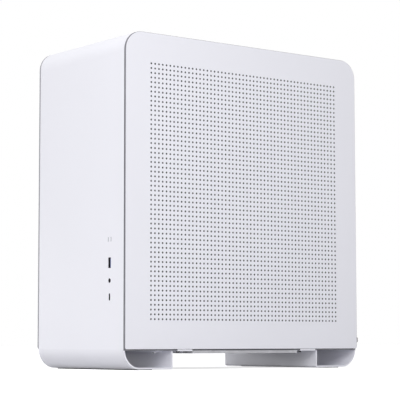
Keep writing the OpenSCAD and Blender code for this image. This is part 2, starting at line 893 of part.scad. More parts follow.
module standoffs() {
    color(brass) for (p = board_holes) translate([board_x, p[0], p[1]]) rotate([0, 90, 0]) difference() {
        union() {
            cylinder(h = standoff_h, d = standoff_d, $fn = 6);
            translate([0, 0, standoff_h - 0.5]) cylinder(h = steel_t + 1.5, d = standoff_shank_d);
        }
        translate([0, 0, -past]) cylinder(h = standoff_thread_l + past, d = standoff_thread_d);
    }
}

// Shallow channel across the top, from one side frame to the other
module top_rail() {
    z0 = top_in_z - top_rail_h;
    y1 = top_rail_y + top_rail_d;
    color(black_steel) difference() {
        block([-frame_x0, top_rail_y, z0], [frame_x0, y1, top_in_z]);
        block([-frame_x0 - past, top_rail_y + steel_t, z0 + steel_t],
              [frame_x0 + past, y1 - steel_t, top_in_z + past]);
        for (x = hole_row) translate([x, top_rail_y + top_rail_d / 2, z0]) drill_z(top_rail_hole_d, steel_t);
    }
}

module rear_thumbscrews() {
    color(black) both_sides() translate([knob_x, rear_y, knob_z]) rotate([-90, 0, 0]) difference() {
        union() {
            cylinder(h = knob_neck, d = knob_d - 1.5);
            translate([0, 0, knob_neck]) cylinder(h = knob_proud - knob_neck, d = knob_d);
            translate([0, 0, -knob_shaft_in]) cylinder(h = knob_shaft_in + past, d = knob_shaft_d);
        }
        for (a = [0:15:345]) rotate([0, 0, a]) translate([knob_d / 2, 0, knob_neck + 0.5]) rotate([0, 0, 45])
            translate([-knob_groove / 2, -knob_groove / 2, 0]) cube([knob_groove, knob_groove, knob_proud]);
        translate([-knob_d, -knob_slot_w / 2, knob_proud - 1]) cube([2 * knob_d, knob_slot_w, 1 + past]);
    }
}

module psu_bracket() {
    half = frame_x0;
    ear_y0 = front_in_y + fit;
    open_w = psu_w - 2 * psu_frame_w[0];
    open_d = psu_d - 2 * psu_frame_w[1];
    color(black_steel) difference() {
        union() {
            block([-half, ear_y0, psu_z], [half, psu_rear_y, psu_z + psu_t]);
            both_sides()
                block([half - steel_t, ear_y0, psu_z], [half, ear_y0 + psu_ear_d, psu_z + psu_ear_h]);
            block([-half, psu_rear_y - steel_t, psu_z - psu_lip_h], [half, psu_rear_y, psu_z + psu_t]);
        }
        translate([-open_w / 2, psu_mid_y - open_d / 2, psu_z - past])
            cube([open_w, open_d, psu_t + 2 * past]);
        for (p = psu_holes) translate([p[0], p[1], psu_z]) drill_z(psu_hole_d, psu_t);
        both_sides() for (z = psu_screw_z) translate([half - steel_t, psu_screw_y, z])
            drill_x(wide_hole_d, steel_t);
    }
}

module psu_bracket_screws() {
    color(bright_steel) both_sides() for (z = psu_screw_z)
        translate([frame_x0 - steel_t, psu_screw_y, z]) rotate([0, -90, 0])
            screw(bracket_screw, psu_screw_len);
}

module power_inlet() {
    y0 = rear_out_y - inlet_depth;
    y1 = rear_out_y + inlet_plate_t;
    low_r = inlet_mouth_r[0];
    high_r = inlet_mouth_r[1];
    color(black) difference() {
        union() {
            along_y(rear_out_y, y1) translate([inlet_x, inlet_z]) round_rect(inlet_plate, inlet_plate_r);
            along_y(y0, rear_out_y + past) translate([inlet_x, inlet_z])
                square([inlet_body_w, inlet_body_h], center = true);
        }
        along_y(y0 + inlet_floor, y1 + past) translate([inlet_x, inlet_z])
            outline(-inlet_mouth / 2, inlet_mouth / 2, [low_r, low_r, high_r, high_r]);
        for (s = [-1, 1]) translate([inlet_x + s * inlet_screw_x, y1 + past, inlet_z]) rotate([90, 0, 0])
            cylinder(h = inlet_plate_t + 2 * past, d = wide_hole_d);
        power_pin_blocks(snug);
    }
}

// Three flat contact blades, grown by a margin
module power_pin_blocks(grow) {
    size = grown(inlet_pin, grow);
    for (p = inlet_pins) along_y(rear_out_y - inlet_depth - inlet_pin_tail, rear_out_y - inlet_pin_below)
        translate([inlet_x + p[0], inlet_z + p[1]]) square(size, center = true);
}

module power_inlet_pins() {
    color(bright_steel) power_pin_blocks(0);
}

module power_inlet_screws() {
    color(black) for (s = [-1, 1])
        translate([inlet_x + s * inlet_screw_x, rear_out_y + inlet_plate_t, inlet_z]) rotate([-90, 0, 0])
            screw(inlet_screw, inlet_screw_len);
}

module drive_tray() {
    foot_h = base_top_z + steel_t;
    color(black_steel) difference() {
        union() {
            block([-drive_x, drive_y0, drive_z], [drive_x, drive_y1, drive_z + steel_t]);
            both_sides() {
                block([drive_x, drive_y0, base_top_z], [drive_x + steel_t, drive_y1, drive_z + steel_t]);
                for (y = drive_screw_y)
                    block([drive_x, y - drive_foot_d / 2, base_top_z],
                          [drive_foot_x + drive_foot_w / 2, y + drive_foot_d / 2, foot_h]);
            }
        }
        for (p = drive_holes) translate([p[0], p[1], drive_z]) drill_z(sleeve_hole_d, steel_t);
        for (x = hole_row) translate([x, drive_mid_y, drive_z - past]) rotate([0, 0, 90])
            linear_extrude(steel_t + 2 * past) slot_2d(drive_slot);
        both_sides() for (y = drive_screw_y) translate([drive_foot_x, y, base_top_z])
            drill_z(screw_hole_d, steel_t);
    }
}

module drive_grommets() {
    low = -sleeve_flange_t;
    high = steel_t + sleeve_flange_t;
    color(black) for (p = drive_holes) translate([p[0], p[1], drive_z]) difference() {
        union() {
            translate([0, 0, low]) cylinder(h = sleeve_flange_t, d = sleeve_flange_d);
            translate([0, 0, low + 0.5]) cylinder(h = high - low - 1, d = sleeve_neck_d);
            translate([0, 0, steel_t]) cylinder(h = sleeve_flange_t, d = sleeve_flange_d);
        }
        translate([0, 0, low]) drill_z(sleeve_bore_d, high - low);
    }
}

module drive_tray_screws() {
    color(bright_steel) both_sides() for (y = drive_screw_y)
        translate([drive_foot_x, y, base_top_z + steel_t]) screw(small_screw, 2 * steel_t);
}

module ssd_bracket() {
    half_y = ssd_feet_y / 2;
    half_z = ssd_feet_z / 2;
    wall = half_y - ssd_wall_in;
    back = tray_x + steel_t;
    color(black_steel) difference() {
        translate([0, ssd_y, ssd_z]) union() {
            block([ssd_x, -wall, -half_z - ssd_foot], [ssd_x + steel_t, wall, half_z + ssd_foot]);
            for (s = [0, 1]) mirror([0, s, 0]) for (z = [-half_z, half_z]) {
                block([back, wall - steel_t, z - ssd_foot], [ssd_x + steel_t, wall, z + ssd_foot]);
                block([back, wall - steel_t, z - ssd_foot],
                      [back + steel_t, half_y + ssd_foot, z + ssd_foot]);
            }
        }
        for (sy = [-1, 1]) for (sz = [-1, 1])
            translate([ssd_x, ssd_y + sy * ssd_holes[0] / 2, ssd_z + sz * ssd_holes[1] / 2])
                drill_x(wide_hole_d, steel_t);
        along_x(back - past, back + steel_t + past) translate([ssd_y, ssd_z])
            at_ssd_feet_2d() circle(d = screw_hole_d);
        for (k = [-2:2]) translate([ssd_x - past, ssd_y, ssd_z + k * ssd_slot_pitch]) rotate([90, 0, 90])
            linear_extrude(steel_t + 2 * past) slot_2d(ssd_slot);
    }
}

module ssd_bracket_screws() {
    color(bright_steel) for (sy = [-1, 1]) for (sz = [-1, 1])
        translate([tray_x + 2 * steel_t, ssd_y + sy * ssd_feet_y / 2, ssd_z + sz * ssd_feet_z / 2])
            rotate([0, 90, 0]) screw(small_screw, ssd_screw_len);
}

module rear_fan_frame() {
    hub_d = fan_hub_d + 2;
    strut = [fan_bore_d / 2 - fan_hub_d / 2 + 3, fan_strut_w];
    color(black) difference() {
        union() {
            along_y(fan_y0, rear_in_y) translate([fan_x, fan_z]) difference() {
                round_rect([fan_size, fan_size], fan_corner_r);
                circle(d = fan_bore_d, $fn = large_fn);
            }
            along_y(fan_hub_y, rear_in_y) translate([fan_x, fan_z]) {
                circle(d = hub_d);
                for (a = [20:90:290]) rotate(a)
                    translate([fan_hub_d / 2 - 2, -fan_strut_w / 2]) square(strut);
            }
        }
        along_y(fan_y0 - past, rear_in_y + past) translate([fan_x, fan_z])
            at_fan_screws_2d() circle(d = fan_hole_d);
        along_y(fan_hub_y - past, rear_in_y - 1) translate([fan_x, fan_z]) circle(d = fan_shaft_d + 0.1);
    }
}

module rear_fan_rotor() {
    inner_r = fan_hub_d / 2 - fan_hub_wall;
    tip_r = fan_bore_d / 2 - fan_tip_gap;
    mid = (rotor_y0 + rotor_y1) / 2;
    color(dark_grey) {
        difference() {
            union() {
                along_y(rotor_y0, rotor_y1) translate([fan_x, fan_z]) circle(d = fan_hub_d);
                intersection() {
                    along_y(rotor_y0, rotor_y1) translate([fan_x, fan_z]) difference() {
                        circle(tip_r, $fn = large_fn);
                        circle(fan_hub_d / 2 - 1);
                    }
                    for (k = [0:fan_blades - 1]) translate([fan_x, mid, fan_z])
                        rotate([0, k * 360 / fan_blades, 0]) rotate([fan_blade_tilt, 0, 0])
                            block([0, -fan_blade_t / 2, -fan_blade_len / 2],
                                  [fan_bore_d / 2, fan_blade_t / 2, fan_blade_len / 2]);
                }
            }
            along_y(rotor_y0 + fan_hub_wall, rotor_y1 + past) translate([fan_x, fan_z]) circle(inner_r);
        }
        along_y(rotor_y0 + 1, rotor_y1) translate([fan_x, fan_z]) circle(d = fan_bearing_d);
        along_y(rotor_y0 + 1, rear_in_y - 1.3) translate([fan_x, fan_z]) circle(d = fan_shaft_d);
    }
}

module rear_fan_screws() {
    color(bright_steel) for (sx = [-1, 1]) for (sz = [-1, 1])
        translate([fan_x + sx * fan_holes / 2, rear_out_y, fan_z + sz * fan_holes / 2]) rotate([-90, 0, 0])
            screw(fan_screw, 8);
}

module filter_frame() {
    top = filter_frame_z1;
    lip_z1 = filter_z + lip_h;
    color(silver) difference() {
        union() {
            block([filter_x0, filter_y0 + filter_edge, filter_z], [filter_x1, filter_y1 - filter_edge, top]);
            block([filter_x0, filter_y0 + edge_fit, filter_tongue_z0],
                  [frame_x1, filter_y1 - edge_fit, top]);
            difference() {
                block([filter_x1 - lip_t, filter_y0, filter_z], [filter_x1, filter_y1, lip_z1]);
                for (y = [filter_y0, filter_y1]) translate([filter_x1, y, lip_z1]) rotate([0, 45, 0])
                    cube([lip_bevel, 2 * filter_edge, lip_bevel], center = true);
            }
        }
        translate([0, 0, filter_z - past]) linear_extrude(top - filter_z + 2 * past) filter_windows_2d(0);
        translate([0, 0, filter_tongue_z0]) linear_extrude(top - filter_tongue_z0 + past)
            filter_windows_2d(filter_rebate);
    }
}

// The frame's two openings, on both sides of its middle bar, grown by a margin
module filter_windows_2d(grow) {
    low = filter_x0 + filter_border;
    high = filter_window_x1 - filter_border;
    mid = (filter_x0 + filter_window_x1) / 2;
    len = filter_len - 2 * filter_border;
    for (span = [[low, mid - filter_bar / 2], [mid + filter_bar / 2, high]])
        translate([span[0] - grow, filter_y0 + filter_border - grow])
            square([span[1] - span[0] + 2 * grow, len + 2 * grow]);
}

// Two sheets of mesh lying on the openings' rebates
module filter_mesh() {
    color(dark_grey) translate([0, 0, filter_tongue_z0]) linear_extrude(mesh_t) difference() {
        filter_windows_2d(filter_rebate - 0.1);
        intersection() {
            filter_windows_2d(-1);
            for (i = [-7:6]) for (j = [-5:5])
                translate([i * mesh_pitch + (i < 0 ? -mesh_skew : mesh_skew), filter_mid_y + j * mesh_pitch])
                    square(mesh_hole, center = true);
        }
    }
}

// One rail of the filter: 0 is the front one, 1 is the rear one
module filter_rail(i) {
    low = rail_z1 - rail_t;
    far = rail_tab_x1;
    color(silver) difference() {
        translate([0, rail_edge_y[i], 0]) mirror([0, rail_dir[i] < 0 ? 1 : 0, 0]) union() {
            block([-frame_x1, edge_fit, low], [frame_x1, rail_reach[i], rail_z1]);
            block([-rail_end_x, edge_fit, rail_z0], [rail_end_x, edge_fit + rail_t, rail_z1]);
            block([-rail_end_x, fit * 2 - filter_edge, rail_z0],
                  [rail_end_x, edge_fit + rail_t, rail_z0 + rail_t]);
            both_sides() {
                block([frame_x1 - 1, rail_tab_in[i], low], [far, rail_reach[i], rail_z1]);
                block([rail_tab_x0, rail_tab_in[i], low], [far, rail_reach[i], rail_tab_z1]);
            }
        }
        both_sides() translate([rail_screw_x, rail_screw_y[i], low]) drill_z(screw_hole_d, rail_t);
    }
}

module filter_rail_screws() {
    color(black) both_sides() for (y = rail_screw_y)
        translate([rail_screw_x, y, rail_z1 - rail_t]) rotate([180, 0, 0]) screw(rail_screw, rail_screw_len);
}

module io_board() {
    color(board_green) difference() {
        block([io_board_x, io_y0, io_z0], [io_board_x + io_board_t, io_y1, io_z1]);
        for (z = io_hole_z) translate([io_board_x, io_y1 - io_hole_in, z]) drill_x(screw_hole_d, io_board_t);
    }
}

module io_bracket() {
    x0 = io_board_x + io_board_t;
    z0 = io_z0 - io_rim;
    z1 = io_z1 + io_rim;
    color(black_steel) difference() {
        union() {
            block([x0, front_in_y, z0], [x0 + steel_t, io_y1 + io_rim, z1]);
            block([x0, front_in_y, z0], [x0 + io_flange, front_in_y + steel_t, z1]);
        }
        for (z = io_hole_z) translate([x0, io_y1 - io_hole_in, z]) drill_x(screw_hole_d, steel_t);
    }
}

module usb_a_shell() {
    y0 = front_y + port_back;
    color(bright_steel) along_y(y0, y0 + usb_a_len) translate([port_x, usb_a_z]) difference() {
        square(usb_a_size, center = true);
        square(grown(usb_a_size, -usb_a_wall), center = true);
    }
}

// Contact tongue on one side of the mouth, and the block that closes the shell behind it
module usb_a_tongue() {
    y1 = front_y + port_back + usb_a_len;
    color(port_blue) translate([port_x, 0, usb_a_z]) {
        block([-0.2, front_y + 1.6, -5.6], [1.8, y1 - 8, 5.6]);
        block([-2.5, y1 - 8.5, -6.2], [2.5, y1 - 0.5, 6.2]);
    }
}

module audio_jack() {
    y1 = front_in_y + jack_len;
    color(black) difference() {
        union() {
            block([port_x - jack_body[0], front_in_y + edge_fit, jack_z - jack_body[1] / 2],
                  [io_board_x, y1, jack_z + jack_body[1] / 2]);
            along_y(front_y + port_back, front_in_y + past) translate([port_x, jack_z]) circle(d = jack_d);
        }
        along_y(front_y, y1 - 1.5) translate([port_x, jack_z]) circle(d = jack_bore_d);
    }
}

module usb_c_shell() {
    y0 = front_y + port_back;
    y1 = y0 + usb_c_len;
    foot_h = 6.8;
    color(bright_steel) difference() {
        union() {
            along_y(y0, y1) translate([port_x, usb_c_z]) upright_slot_2d(usb_c_size);
            block([port_x + 0.5, front_in_y + fit, usb_c_z - foot_h / 2],
                  [io_board_x, y1, usb_c_z + foot_h / 2]);
        }
        along_y(front_y, y1 - 1) translate([port_x, usb_c_z])
            upright_slot_2d(grown(usb_c_size, -usb_c_wall));
    }
}

module usb_c_tongue() {
    tongue = [0.7, 6.68];
    color(black) along_y(front_y + 1.8, front_y + port_back + usb_c_len - 1) translate([port_x, usb_c_z])
        square(tongue, center = true);
}

// Two clear bars that carry light from the board to the front face, on one block
module indicator_lights() {
    low = lamp_z - 4;
    high = lamp_z + 4;
    y0 = front_in_y + fit;
    color(clear_grey) union() {
        along_y(front_y + 0.3, front_in_y + 0.8) for (x = lamp_x) translate([x, lamp_z])
            upright_slot_2d([lamp_w, lamp_h]);
        block([lamp_x[0] - 1, y0, low], [io_board_x, front_in_y + 6, high]);
        block([lamp_x[0] - 1, y0, low], [lamp_x[1] + 1, front_in_y + 1, high]);
    }
}

module power_button() {
    flange_z0 = cap_flange_z1 - cap_flange_t;
    bevel_z = cap_z1 - cap_bevel;
    stem_z0 = switch_z + switch_pin_z + edge_fit + button_travel;
    color(silver) translate([port_x, button_cy, 0]) {
        translate([0, 0, flange_z0]) cylinder(h = bevel_z - flange_z0, d = button_d);
        translate([0, 0, bevel_z]) cylinder(h = cap_bevel, d1 = button_d, d2 = button_d - 2 * cap_bevel);
        translate([0, 0, flange_z0]) cylinder(h = cap_flange_t, d = button_d + 2 * cap_flange_w);
        translate([0, 0, stem_z0]) cylinder(h = flange_z0 + 1 - stem_z0, d = cap_stem_d);
    }
}

module switch_housing() {
    bore_d = button_d + 2 * (cap_flange_w + housing_room);
    ear = [bore_d + 2 * (housing_wall + housing_ear[0]), housing_ear[1]];
    foot_z = switch_z - switch_foot_t;
    color(black) translate([port_x, button_cy, 0]) difference() {
        union() {
            translate([0, 0, foot_z]) cylinder(h = top_in_z - foot_z, d = bore_d + 2 * housing_wall);
            translate([0, 0, top_in_z - housing_ear_t]) linear_extrude(housing_ear_t) round_rect(ear, 3);
        }
        translate([0, 0, switch_z]) cylinder(h = top_in_z - switch_z + past, d = bore_d);
    }
}

module power_switch() {
    half = switch_body[0] / 2;
    color(dark_grey) translate([port_x, button_cy, switch_z]) {
        cylinder(h = switch_foot_t, d = button_d + 2);
        block([-half, -half, 1], [half, half, 1 + switch_body[1]]);
        cylinder(h = switch_pin_z, d = switch_pin_d);
    }
}

outer_shell();
rear_foot();
foot_pad(front_y + corner_r);  // front_foot_pad
foot_pad(rear_y - corner_r - pad_d);  // rear_foot_pad
foot_screws();
side_panel(1);  // right_side_panel
side_panel(-1);  // left_side_panel
panel_studs(1);  // right_panel_studs
panel_studs(-1);  // left_panel_studs
panel_sockets(1);  // right_panel_sockets
panel_sockets(-1);  // left_panel_sockets
side_frame(1);  // side_frame_right
side_frame(-1);  // side_frame_left
chassis_base();
rear_plate();
port_bay();
motherboard_tray();
top_rail();
rear_thumbscrews();
standoffs();
slot_screws();
psu_bracket();
psu_bracket_screws();
power_inlet();
power_inlet_pins();
power_inlet_screws();
drive_tray();
drive_grommets();
drive_tray_screws();
ssd_bracket();
ssd_bracket_screws();
rear_fan_frame();
rear_fan_rotor();
rear_fan_screws();
filter_frame();
filter_mesh();
filter_rail(0);  // filter_rail_front
filter_rail(1);  // filter_rail_rear
filter_rail_screws();
io_board();
io_bracket();
usb_a_shell();
usb_a_tongue();
audio_jack();
usb_c_shell();
usb_c_tongue();
indicator_lights();
power_button();
power_switch();
switch_housing();
for (i = [1:3]) cable_grommet(i);
for (i = [1:7]) slot_cover(i);
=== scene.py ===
"""Mid tower pc case: finishes, fine sheet and moulded pieces, light and camera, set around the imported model."""

import json
import math

import bpy
from mathutils import Euler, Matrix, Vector
from mathutils.geometry import tessellate_polygon


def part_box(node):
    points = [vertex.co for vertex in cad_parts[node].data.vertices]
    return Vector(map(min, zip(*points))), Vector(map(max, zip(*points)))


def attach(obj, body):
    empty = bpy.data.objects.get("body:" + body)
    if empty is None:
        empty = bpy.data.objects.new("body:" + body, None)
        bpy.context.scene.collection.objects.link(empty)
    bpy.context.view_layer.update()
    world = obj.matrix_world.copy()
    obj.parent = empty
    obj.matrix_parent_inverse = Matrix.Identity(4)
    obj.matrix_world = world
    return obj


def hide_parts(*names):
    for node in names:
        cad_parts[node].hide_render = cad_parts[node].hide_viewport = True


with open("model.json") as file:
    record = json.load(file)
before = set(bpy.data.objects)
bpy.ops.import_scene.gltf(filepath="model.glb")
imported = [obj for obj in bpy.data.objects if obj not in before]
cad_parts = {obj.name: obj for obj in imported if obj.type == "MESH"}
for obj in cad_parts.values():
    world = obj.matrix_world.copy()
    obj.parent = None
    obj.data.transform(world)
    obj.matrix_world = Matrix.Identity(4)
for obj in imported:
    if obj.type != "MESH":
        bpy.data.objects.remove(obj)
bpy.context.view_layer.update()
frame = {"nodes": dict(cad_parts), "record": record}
MM = 0.001


# Shader maths: a value in a node tree, and the tree that makes its nodes

class Value:
    """An output socket. Arithmetic on it adds Math nodes."""

    def __init__(self, tree, socket):
        self.tree, self.socket = tree, socket

    def math(self, operation, *terms, clamp=False):
        settings = {"operation": operation, "use_clamp": clamp}
        return self.tree.node("Math", settings, dict(enumerate(terms)))

    def __add__(self, other):
        return self.math("ADD", self, other)

    def __mul__(self, other):
        return self.math("MULTIPLY", self, other)

    def __sub__(self, other):
        return self.math("SUBTRACT", self, other)

    def __rsub__(self, other):
        return self.math("SUBTRACT", other, self)

    def __gt__(self, other):
        return self.math("GREATER_THAN", self, other)

    def __lt__(self, other):
        return self.math("LESS_THAN", self, other)

    __radd__ = __add__
    __rmul__ = __mul__

    def absolute(self):
        return self.math("ABSOLUTE", self)

    def clamped(self):
        return self.math("MULTIPLY", self, 1.0, clamp=True)

    def between(self, low, high):
        """0 at low and under it, 1 at high and over it, and smooth between them."""
        ends = {"Value": self, "From Min": low, "From Max": high}
        return self.tree.node("MapRange", {"interpolation_type": "SMOOTHSTEP"}, ends)


class Tree:
    """A node tree, emptied, and the one method that adds a node to it."""

    def __init__(self, tree):
        self.tree = tree
        tree.nodes.clear()

    def node(self, kind, settings=(), sockets=(), output=0):
        """Adds a node: its settings first, then the values or links of its sockets."""
        made = self.tree.nodes.new("ShaderNode" + kind)
        for name, value in dict(settings).items():
            setattr(made, name, value)
        for name, value in dict(sockets).items():
            if isinstance(value, Value):
                self.tree.links.new(value.socket, made.inputs[name])
            else:
                made.inputs[name].default_value = value
        return Value(self, made.outputs[output]) if len(made.outputs) else None

    def seen_or_mirrored(self):
        """1 for rays from the camera, and for those that reached a mirror or glass on the way."""
        rays = [self.node("LightPath", output=name)
                for name in ("Is Camera Ray", "Is Glossy Ray", "Is Transmission Ray")]
        return (rays[0] + rays[1] + rays[2]).clamped()


class Finish(Tree):
    """A procedural finish, laid out over the object's own coordinates, in millimetres."""

    def __init__(self, name):
        self.material = bpy.data.materials.new(name)
        self.material.use_nodes = True
        super().__init__(self.material.node_tree)
        self.place = self.node("TexCoord", output="Object")

    def scaled(self, x=1.0, y=1.0, z=1.0):
        return self.node("Mapping", sockets={"Vector": self.place, "Scale": (x, y, z)})

    def noise(self, size, detail=2.0, place=None):
        """Cloudy pattern from 0 to 1, with blobs about size millimetres across."""
        sockets = {"Vector": place or self.place, "Scale": 1 / (size * MM), "Detail": detail}
        return self.node("TexNoise", sockets=sockets)

    def cells(self, size, feature="F1"):
        """Distance from the nearest of many points about size millimetres apart."""
        sockets = {"Vector": self.place, "Scale": 1 / (size * MM)}
        return self.node("TexVoronoi", {"feature": feature}, sockets, "Distance")

    def axis(self, name):
        """One coordinate, in millimetres."""
        return self.node("SeparateXYZ", sockets={"Vector": self.place}, output=name) * (1 / MM)

    def mix(self, share, first, second):
        """Colour that goes from first to second as share goes from 0 to 1."""
        colours = [c if isinstance(c, Value) else (*c, 1.0) for c in (first, second)]
        sockets = {0: share, 6: colours[0], 7: colours[1]}
        return self.node("Mix", {"data_type": "RGBA"}, sockets, 2)

    def surface(self, base, roughness, height, depth, metallic=0.0, **constants):
        """Joins colour, roughness and relief (height from 0 to 1 over depth millimetres)."""
        relief = self.node("Bump", sockets={"Height": height, "Distance": depth * MM, "Strength": 1.0})
        sockets = {"Base Color": base, "Roughness": roughness, "Metallic": metallic, "Normal": relief}
        sockets.update(constants)
        shader = self.node("BsdfPrincipled", sockets=sockets)
        self.node("OutputMaterial", sockets={"Surface": shader})
        return self.material


def shade(colour, factor):
    return tuple(c * factor for c in colour)


def coated_sheet(name, colour, gloss, grain, depth, shade_mask=None):
    """Powder-coated or anodised sheet: a fine even grain over broad, faint clouds.

    The last argument, a function of the finish, is 1 where shade is painted on the sheet in the dark gap colour.
    """
    f = Finish(name)
    clouds, fine, speck = f.noise(140, 3), f.noise(grain, 2), f.noise(grain * 0.45, 1)
    tone = (clouds * 0.5 + fine * 0.35 + speck * 0.25).clamped()
    base = f.mix(tone, shade(colour, 0.965), shade(colour, 1.03))
    if shade_mask:
        # Painted shade: the dark gap colour laid over the sheet wherever the mask is 1.
        base = f.mix(shade_mask(f), base, GAP_SHADE)
    rough = gloss - 0.06 + clouds * 0.05 + speck * 0.08
    return f.surface(base, rough, fine * 0.6 + speck * 0.4, depth)


def turned_metal(name, colour, gloss, scratch=0.25):
    """Bare or plated metal with faint machining lines and a little tarnish in the hollows."""
    f = Finish(name)
    lines = f.noise(scratch, 2, f.scaled(1, 1, 0.18))
    clouds = f.noise(3.0, 3)
    base = f.mix(clouds.between(0.3, 0.75), shade(colour, 0.86), shade(colour, 1.06))
    rough = gloss + lines * 0.14 + clouds * 0.08
    return f.surface(base, rough, lines, 0.012, metallic=1.0)


def blackened_metal(name, colour, gloss):
    """Black-coated steel: satin, with paler rubbed spots."""
    f = Finish(name)
    rubbed = f.noise(1.6, 3).between(0.56, 0.8)
    fine = f.noise(0.16, 2)
    base = f.mix(rubbed, colour, shade(colour, 3.2))
    return f.surface(base, gloss + fine * 0.15 - rubbed * 0.1, fine, 0.01, metallic=0.35)


def moulded_plastic(name, colour, gloss, grain, depth=0.03):
    """Moulded plastic with a spark-eroded grain and soft flow clouds."""
    f = Finish(name)
    pits, clouds = f.cells(grain), f.noise(18, 3)
    base = f.mix(clouds.between(0.3, 0.7), shade(colour, 0.88), shade(colour, 1.14))
    rough = gloss + clouds * 0.08 + pits * 0.08
    return f.surface(base, rough, pits, depth)


def soft_rubber(name, colour, cell, depth):
    """Foam or soft rubber: open cells, chalky where it was handled."""
    f = Finish(name)
    pores, dust = f.cells(cell, "SMOOTH_F1"), f.noise(9, 4)
    base = f.mix(dust.between(0.45, 0.8), colour, shade(colour, 1.9))
    return f.surface(base, 0.78 + dust * 0.15, pores, depth)


def board_mask(name, colour):
    """Solder mask over fine copper tracks that run upright and level."""
    f = Finish(name)
    upright = (f.noise(1.1, 1, f.scaled(1, 1, 0.06)) > 0.56).clamped()
    level = (f.noise(1.3, 1, f.scaled(1, 0.08, 1)) > 0.62).clamped()
    tracks = (upright + level).clamped()
    base = f.mix(tracks, colour, shade(colour, 1.8))
    return f.surface(base, 0.32 + f.noise(4, 2) * 0.12, tracks, 0.03)


def smoked_window(name, colour):
    """Light pipe: clear, slightly frosted plastic."""
    f = Finish(name)
    frost = f.noise(0.2, 2)
    base = f.mix(f.noise(2.5, 2), shade(colour, 0.85), shade(colour, 1.15))
    return f.surface(base, 0.18 + frost * 0.2, frost, 0.008)


def woven_mesh(name, colour):
    """Nylon thread, paler along its rounded back."""
    f = Finish(name)
    fibres = f.noise(0.3, 2)
    base = f.mix(fibres.between(0.3, 0.7), shade(colour, 0.8), shade(colour, 1.35))
    return f.surface(base, 0.5 + fibres * 0.25, fibres, 0.02)


SHELL = (0.835, 0.835, 0.893)
# Painted shade: a dark colour that stands in for the shade in the gaps beside the side panels, laid on the edges
# there and on the panels' rims and hole walls.
GAP_SHADE = (0.27, 0.27, 0.30)
PANEL = (0.83, 0.83, 0.888)
CHASSIS = (0.022, 0.022, 0.025)
SHELL_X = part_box("outer_shell")[1].x / MM
PANEL_IN_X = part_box("right_side_panel")[0].x / MM
PANEL_OUT_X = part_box("right_side_panel")[1].x / MM
PANEL_LOW_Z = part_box("right_side_panel")[0].z / MM
BASE_LOW_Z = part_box("chassis_base")[0].z / MM


def shell_gap_shade(f):
    """Painted shade: the side edges of the shell and the base, darkened where they lie in the shadow gap beside
    the panels.
    """
    x = f.axis("X").absolute()
    return (x > SHELL_X - 0.1) * (x < SHELL_X + 0.1) * (f.axis("Z") > BASE_LOW_Z)


def panel_rim_shade(f):
    """Painted shade: a side panel's rounded rim, but for its lower edge, and the walls of its holes, darkened to
    the gap colour as if in shade.
    """
    x = f.axis("X").absolute()
    return (x > PANEL_IN_X + 0.05) * (x < PANEL_OUT_X - 0.05) * (f.axis("Z") > PANEL_LOW_Z + 0.8)


finishes = {
    "shell_silver": coated_sheet("shell_silver", SHELL, 0.46, 0.42, 0.012, shell_gap_shade),
    "panel_silver": coated_sheet("panel_silver", PANEL, 0.52, 0.36, 0.010, panel_rim_shade),
    "chassis_black": coated_sheet("chassis_black", CHASSIS, 0.5, 0.60, 0.016),
    "foot_foam": soft_rubber("foot_foam", (0.03, 0.03, 0.033), 0.55, 0.10),
    "rubber_black": soft_rubber("rubber_black", (0.028, 0.028, 0.03), 0.35, 0.04),
    "screw_steel": turned_metal("screw_steel", (0.63, 0.63, 0.65), 0.24),
    "screw_black": blackened_metal("screw_black", (0.035, 0.035, 0.04), 0.36),
    "socket_plastic": moulded_plastic("socket_plastic", (0.07, 0.07, 0.075), 0.5, 0.5),
    "standoff_brass": turned_metal("standoff_brass", (0.72, 0.53, 0.25), 0.22),
    "black_plastic": moulded_plastic("black_plastic", (0.032, 0.032, 0.036), 0.42, 0.4),
    "filter_grey": moulded_plastic("filter_grey", (0.50, 0.50, 0.53), 0.45, 0.5),
    "filter_mesh": woven_mesh("filter_mesh", (0.022, 0.022, 0.025)),
    "board_green": board_mask("board_green", (0.03, 0.14, 0.06)),
    "usb_blue": moulded_plastic("usb_blue", (0.03, 0.10, 0.42), 0.3, 0.3, 0.01),
    "light_pipe": smoked_window("light_pipe", (0.30, 0.31, 0.34)),
}
for part in frame["record"]["subparts"]:
    mesh = frame["nodes"][part["node"]].data
    mesh.materials.clear()
    mesh.materials.append(finishes[part["material_slot"]])


# Pieces made here

def piece(name, verts, faces, finish, body, replaces=(), smooth=()):
    """A mesh piece: rides on its body, has one finish, and may stand for CAD nodes."""
    mesh = bpy.data.meshes.new(name)
    mesh.from_pydata(verts, [], faces)
    mesh.materials.append(finishes[finish])
    mesh.update()
    for i in smooth:
        mesh.polygons[i].use_smooth = True
    made = bpy.data.objects.new(name, mesh)
    bpy.context.scene.collection.objects.link(made)
    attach(made, body)
    if replaces:
        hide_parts(*replaces)
    return made


def rounded_outline(low, high, radii, steps):
    """Corners of a rectangle, rounded: lower left, lower right, upper right, upper left."""
    (a0, b0), (a1, b1) = low, high
    corners = [(a0, b0, 1, 1, 180), (a1, b0, -1, 1, 270), (a1, b1, -1, -1, 0), (a0, b1, 1, -1, 90)]
    points = []
    for (a, b, da, db, start), r in zip(corners, radii):
        for k in range(steps + 1):
            t = math.radians(start + 90 * k / steps)
            points.append((a + da * r + r * math.cos(t), b + db * r + r * math.sin(t)))
    return points


def loop_faces(first, second, flip=False):
    """Quads between two closed rows of vertices."""
    n = len(first)
    quads = [(first[i], first[(i + 1) % n], second[(i + 1) % n], second[i]) for i in range(n)]
    return [q[::-1] for q in quads] if flip else quads


# Side panels: the full field of round holes in a thin sheet with softened edges
HOLE_PITCH, HOLE_R, HOLE_SIDES = 6.0, 1.3, 12
HOLE_COLS, HOLE_ROWS = 53, 55
FIRST_HOLE = (39.5, 37.6)
PANEL_R = (2.5, 25.0)
# The sheet itself, inside the border that is folded back on itself
FIELD_THICK = 0.7


